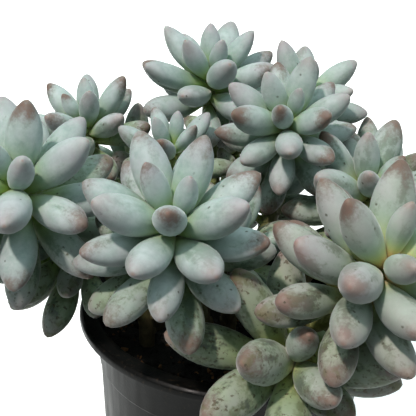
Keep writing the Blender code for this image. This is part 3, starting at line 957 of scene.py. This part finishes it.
def finish_black_plastic(plastic):
    """Satin black sheet: a faint mould grain, upright scuffs, and earth dust that collects near the rim."""
    place = add(plastic, "TexCoord", {}, 3)
    upright = add(plastic, "Mapping", {"Vector": place, "Scale": (1.0, 1.0, SCUFF_UPRIGHT)})
    scuffs = add(plastic, "TexNoise", {"Vector": upright, "Scale": 1 / SCUFF_SIZE, "Detail": 6.0})
    dust = add(plastic, "TexNoise", {"Vector": place, "Scale": 1 / DUST_SIZE, "Detail": 4.0})
    high = add(plastic, "SeparateXYZ", {0: place}, 2)
    near_rim = {"Value": high, "From Min": SOIL_TOP - DUST_DROP, "From Max": POT_HEIGHT}
    near_rim = add(plastic, "MapRange", near_rim)
    dusty = add(plastic, "MapRange", {"Value": dust, "From Min": 0.58, "From Max": 0.74, "To Max": 0.2})
    dusty = add(plastic, "Math", {0: dusty, 1: near_rim}, operation="MULTIPLY")
    satin = {"Value": scuffs, "From Min": 0.3, "From Max": 0.7, "To Min": 0.3, "To Max": 0.5}
    grain = add(plastic, "TexNoise", {"Vector": place, "Scale": 1 / MOULD_GRAIN, "Detail": 2.0})
    shader = add(plastic, "BsdfPrincipled", {
        "Base Color": lay_over(plastic, "#050505", [("#0f0f0e", scuffs), ("#5a4c3c", dusty)]),
        "Roughness": add(plastic, "MapRange", satin),
        "Normal": add(plastic, "Bump", {"Height": grain, "Distance": MOULD_BUMP, "Strength": 0.5}),
        "IOR": 1.49,
        "Specular IOR Level": 0.08,
    })
    add(plastic, "OutputMaterial", {"Surface": shader})


finish_black_plastic(black_plastic)
print(len(black_plastic.node_tree.nodes), "nodes make the plastic")


# %% Raise the pot
ROUND_SIDES = 96
POT_EDGE = 0.35 * MM
POT_SHARP = math.radians(35)


def wall_radius(height):
    """The radius of the pot's tapered wall, outside."""
    return BASE_RADIUS + (NECK_RADIUS - BASE_RADIUS) * height / (POT_HEIGHT - RIM_HEIGHT)


def raise_shape(name, section):
    """A round shape from (radius, height) steps: a disc whose edge is pulled from each step to the next."""
    radius, height = section[0]
    foot = (0, 0, height)
    clear_selection()
    bpy.ops.mesh.primitive_circle_add(vertices=ROUND_SIDES, radius=radius, location=foot, fill_type="NGON")
    shape = made(name)
    edit(shape)
    bpy.ops.mesh.select_mode(type="EDGE")
    bpy.ops.mesh.region_to_loop()
    for next_radius, next_height in section[1:]:
        bpy.ops.mesh.extrude_edges_move()
        bpy.ops.transform.translate(value=(0, 0, next_height - height))
        grow = next_radius / radius
        bpy.ops.transform.resize(value=(grow, grow, 1), center_override=(0, 0, next_height))
        radius, height = next_radius, next_height
    bpy.ops.mesh.edge_face_add()
    bpy.ops.mesh.select_mode(type="VERT")
    end_edit()
    close_up(shape)
    return shape


rim_foot = POT_HEIGHT - RIM_HEIGHT
step_height = POT_HEIGHT - STEP_DROP
roll = POT_HEIGHT - WALL
pot = raise_shape("fine_pot", [
    (BASE_RADIUS - ROUNDING, 0),
    (BASE_RADIUS, ROUNDING),
    (wall_radius(step_height) - STEP_DEPTH, step_height - STEP_DEPTH),
    (wall_radius(step_height), step_height),
    (wall_radius(rim_foot), roll),
    (RIM_RADIUS - WALL, roll),
    (RIM_RADIUS - WALL, rim_foot),
    (RIM_RADIUS, rim_foot),
    (RIM_RADIUS, POT_HEIGHT - ROUNDING),
    (RIM_RADIUS - ROUNDING, POT_HEIGHT),
    (wall_radius(rim_foot) - WALL + ROUNDING, POT_HEIGHT),
    (wall_radius(rim_foot) - WALL, rim_foot),
    (wall_radius(FLOOR) - WALL, FLOOR),
])
print("the pot's rim is", round(pot.dimensions.x / MM), "mm across")

# %% [markdown]
# Drain holes are cut with a Boolean: six short cylinders, joined into one cutter, are taken out of the floor.
# A Bevel then rounds every sharp edge of the sheet a little, since no drawn sheet has a knife edge.

# %% Drain holes and rounded edges
HOLE_SIDES = 20


def upright_cutters(places, radius, depth):
    """Upright cylinders, joined into one cutter."""
    pegs = []
    for place in places:
        clear_selection()
        bpy.ops.mesh.primitive_cylinder_add(vertices=HOLE_SIDES, radius=radius, depth=depth, location=place)
        pegs.append(made("cutter"))
    return join(pegs)


def cut_out(piece, cutter):
    apply_modifier(piece, "BOOLEAN", operation="DIFFERENCE", object=cutter, solver="EXACT")
    bpy.data.objects.remove(cutter, do_unlink=True)


turns = [math.tau * (k + 0.5) / DRAIN_HOLES for k in range(DRAIN_HOLES)]
drains = [(DRAIN_CIRCLE * math.cos(turn), DRAIN_CIRCLE * math.sin(turn), 0) for turn in turns]
cut_out(pot, upright_cutters(drains, DRAIN_RADIUS, 4 * FLOOR))
apply_modifier(pot, "BEVEL", width=POT_EDGE, segments=2, limit_method="ANGLE", angle_limit=POT_SHARP)
bpy.ops.object.shade_smooth_by_angle(angle=POT_SHARP)
pot.data.materials.append(black_plastic)
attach(pot, "root")
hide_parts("pot")
print("the pot has", len(pot.data.polygons), "faces")

# %% [markdown]
# ## The soil
#
# Potting soil is dark, damp peat with crumbs of bark. The body of it is raised like the pot, with many rings
# on top that are then heaped by the same waves as the plain solid, and roughened by a Displace modifier. A
# few crumb shapes, made from spheres with few faces, are strewn on it by lot, each lying on the surface under
# it.

# %% Soil material
PEAT_SIZE = 1.1 * MM
PEAT_BUMP = 0.8 * MM

peat = new_material("damp_peat_with_bark_crumbs")


def finish_peat(earth):
    """Nearly black peat. The fact called bark turns a crumb to brown, and the palest to grit."""
    place = add(earth, "TexCoord", {}, 3)
    bark = add(earth, "Attribute", {}, FACT, attribute_name="bark")
    lumps = add(earth, "TexNoise", {"Vector": place, "Scale": 1 / PEAT_SIZE, "Detail": 6.0})
    patches = add(earth, "TexNoise", {"Vector": place, "Scale": 1 / (9 * PEAT_SIZE), "Detail": 2.0})
    grit = add(earth, "MapRange", {"Value": bark, "From Min": 0.93, "From Max": 0.96})
    browned = add(earth, "MapRange", {"Value": bark, "From Min": 0.3, "From Max": 0.8})
    dark = lay_over(earth, "#0e0a07", [("#211811", patches)])
    brown = lay_over(earth, "#4d2f17", [("#86603c", lumps), ("#857a68", grit)])
    shader = add(earth, "BsdfPrincipled", {
        "Base Color": lay_over(earth, "#080604", [(dark, lumps), (brown, browned)]),
        "Roughness": 0.92,
        "Normal": add(earth, "Bump", {"Height": lumps, "Distance": PEAT_BUMP, "Strength": 0.9}),
        "IOR": 1.4,
    })
    add(earth, "OutputMaterial", {"Surface": shader})


finish_peat(peat)
print(len(peat.node_tree.nodes), "nodes make the peat")

# %% Heap the soil
SOIL_RINGS = 30
SOIL_MIDDLE = 0.02
SOIL_LUMP = 4 * MM
SOIL_ROUGHNESS = 1.6 * MM
SOIL_EDGE = 0.93

bottom = FLOOR + GAP
soil_radius = wall_radius(SOIL_TOP) - WALL - 2 * GAP
shares = [1 - (1 - SOIL_MIDDLE) * k / SOIL_RINGS for k in range(SOIL_RINGS + 1)]
section = [(soil_radius * share, SOIL_TOP) for share in shares]
soil = raise_shape("fine_soil", [(wall_radius(bottom) - WALL - 2 * GAP, bottom)] + section)


def soil_relief(x, y):
    """The height of the soil's heaps and hollows."""
    waves = [share * math.sin(math.tau * (x * on_x + y * on_y)) for on_x, on_y, share in SOIL_WAVES]
    return SOIL_RELIEF * sum(waves)


def heap(piece):
    """Lifts the inner part of the surface into heaps, and tells the Displace modifier where it may work."""
    surface = piece.vertex_groups.new(name="surface")
    for point in piece.data.vertices:
        reach = math.hypot(point.co.x, point.co.y) / soil_radius
        if point.co.z > SOIL_TOP - GAP and reach < SOIL_EDGE:
            point.co.z += soil_relief(point.co.x, point.co.y)
            surface.add([point.index], 1.0, "REPLACE")


heap(soil)
lumps = bpy.data.textures.new("soil lumps", "CLOUDS")
lumps.noise_scale = SOIL_LUMP
lumps.noise_depth = 3
apply_modifier(soil, "DISPLACE", texture=lumps, texture_coords="LOCAL", direction="Z", mid_level=0.5,
               strength=SOIL_ROUGHNESS, vertex_group="surface")
cut_out(soil, upright_cutters(feet, STEM_RADIUS + GAP, 2 * (STEM_DEPTH + GAP)))
print("the soil has", len(soil.data.polygons), "faces")

# %% Strew the crumbs
CRUMBS = 1100
CRUMB_FORMS = 5
CRUMB_SIZES = (0.5 * MM, 1.7 * MM)
# The higher this power, the fewer crumbs are large
CRUMB_RARITY = 3
CRUMB_STRETCH = (0.6, 1.4)
CRUMB_TILT = 0.4
CRUMB_SEED = 8
CRUMB_SUNK = 0.25
CRUMB_ROUGHNESS = 0.35
CRUMB_SHARP = math.radians(50)
PEAT_SHARE = 0.62

strew = np.random.default_rng(CRUMB_SEED)


def model_crumb(number):
    """A crumb of radius 1 with twenty faces, its corners pulled about by noise."""
    clear_selection()
    bpy.ops.mesh.primitive_ico_sphere_add(subdivisions=1, radius=1)
    crumb = made("crumb")
    edit(crumb)
    bpy.ops.transform.vertex_random(offset=CRUMB_ROUGHNESS, uniform=1.0, seed=number)
    end_edit()
    return crumb


def drop_crumb(form):
    """A copy of a crumb where it falls on the soil, or nothing if it falls on a stem."""
    reach = soil_radius * SOIL_EDGE * math.sqrt(strew.random())
    turn = math.tau * strew.random()
    size = CRUMB_SIZES[0] + (CRUMB_SIZES[1] - CRUMB_SIZES[0]) * strew.random() ** CRUMB_RARITY
    stretch = strew.uniform(*CRUMB_STRETCH, 3)
    spin = Matrix.Rotation(math.tau * strew.random(), 4, "Z")
    spin @= Matrix.Rotation(strew.normal(0, CRUMB_TILT), 4, "X")
    bark = max(0.0, (strew.random() - PEAT_SHARE) / (1 - PEAT_SHARE))
    x, y = reach * math.cos(turn), reach * math.sin(turn)
    room = STEM_RADIUS + GAP + CRUMB_STRETCH[1] * size
    if min(math.hypot(x - foot[0], y - foot[1]) for foot in feet) < room:
        return None
    hit, place, _, _ = soil.ray_cast(Vector((x, y, POT_HEIGHT)), Vector((0, 0, -1)))
    if not hit:
        return None
    crumb = copy_of(form)
    lie = Matrix.Translation(place + Vector((0, 0, size * (1 - 2 * CRUMB_SUNK))))
    crumb.data.transform(lie @ spin @ Matrix.Diagonal((*(size * stretch), 1)))
    tell_points(crumb, "bark", "FLOAT", np.full(len(crumb.data.vertices), bark))
    return crumb


crumb_forms = [model_crumb(number) for number in range(CRUMB_FORMS)]
crumbs = [drop_crumb(crumb_forms[k % CRUMB_FORMS]) for k in range(CRUMBS)]
crumbs = [crumb for crumb in crumbs if crumb]
tell_points(soil, "bark", "FLOAT", np.zeros(len(soil.data.vertices)))
soil = join([soil] + crumbs)
bpy.ops.object.shade_smooth_by_angle(angle=CRUMB_SHARP)
soil.data.materials.clear()
soil.data.materials.append(peat)
for form in crumb_forms:
    bpy.data.objects.remove(form, do_unlink=True)
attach(soil, "root")
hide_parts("soil")
print(len(crumbs), "crumbs lie on the soil")

# %% [markdown]
# ## Floor and light
#
# The photo has a plain white ground and a high light from the upper left, whose shadows fall softly at the
# foot of each leaf. A sun lamp a few degrees wide gives that, and a pale sky fills the rest. The floor is one
# sheet of paper, large enough that its far edge stays out of view. It throws no soft light back at the plant,
# because the photo's leaves are dark below.

# %% Floor and light
FLOOR_SIZE = 60.0
SUN_LIFT = math.radians(56)
SUN_BEARING = math.radians(-38)
SUN_STRENGTH = 2.95
SUN_COLOUR = "#fff4ee"
SUN_WIDTH = math.radians(4)
SKY_COLOUR = "#e2fbfc"
SKY_STRENGTH = 1.38
# Towards the horizon the sky dims, and from this share of the way up downwards it is as dark as the ground
SKY_FOOT = 0.08
GROUND_STRENGTH = 0.04
# The paper is lit from below a little, as on a light table, so that shadows on it stay pale
PAPER_GLOW = 0.55
PAPER_GRAIN = 2.5 * MM

paper = new_material("pale_studio_paper")
place = add(paper, "TexCoord", {}, 3)
fibres = add(paper, "TexNoise", {"Vector": place, "Scale": 1 / PAPER_GRAIN, "Detail": 3.0})
shader = add(paper, "BsdfPrincipled", {
    "Base Color": lay_over(paper, "#f6f6f5", [("#fcfcfb", fibres)]),
    "Roughness": 0.9,
    "Specular IOR Level": 0.1,
    "Emission Color": "#ffffff",
    "Emission Strength": PAPER_GLOW,
})
add(paper, "OutputMaterial", {"Surface": shader})

clear_selection()
bpy.ops.mesh.primitive_plane_add(size=FLOOR_SIZE)
floor = made("floor")
floor.data.materials.append(paper)
floor.visible_diffuse = False

bpy.ops.object.light_add(type="SUN")
sun = bpy.context.object
sun.data.energy = SUN_STRENGTH
sun.data.angle = SUN_WIDTH
sun.data.color = colour(SUN_COLOUR)[:3]
level = math.cos(SUN_LIFT)
towards_sun = Vector((math.sin(SUN_BEARING) * level, -math.cos(SUN_BEARING) * level, math.sin(SUN_LIFT)))
sun.rotation_euler = towards_sun.to_track_quat("Z", "Y").to_euler()

sky = bpy.data.worlds.new("pale sky")
bpy.context.scene.world = sky
sky.use_nodes = True
sky.node_tree.nodes.clear()
up = add(sky, "SeparateXYZ", {0: add(sky, "TexCoord", {})}, 2)
dimmed = {"Value": up, "From Min": SKY_FOOT, "To Min": GROUND_STRENGTH, "To Max": SKY_STRENGTH}
backdrop = add(sky, "Background", {"Color": SKY_COLOUR, "Strength": add(sky, "MapRange", dimmed)})
add(sky, "OutputWorld", {"Surface": backdrop})
bpy.context.scene.view_settings.view_transform = "Standard"
print("the sun stands", round(math.degrees(SUN_LIFT)), "degrees high")
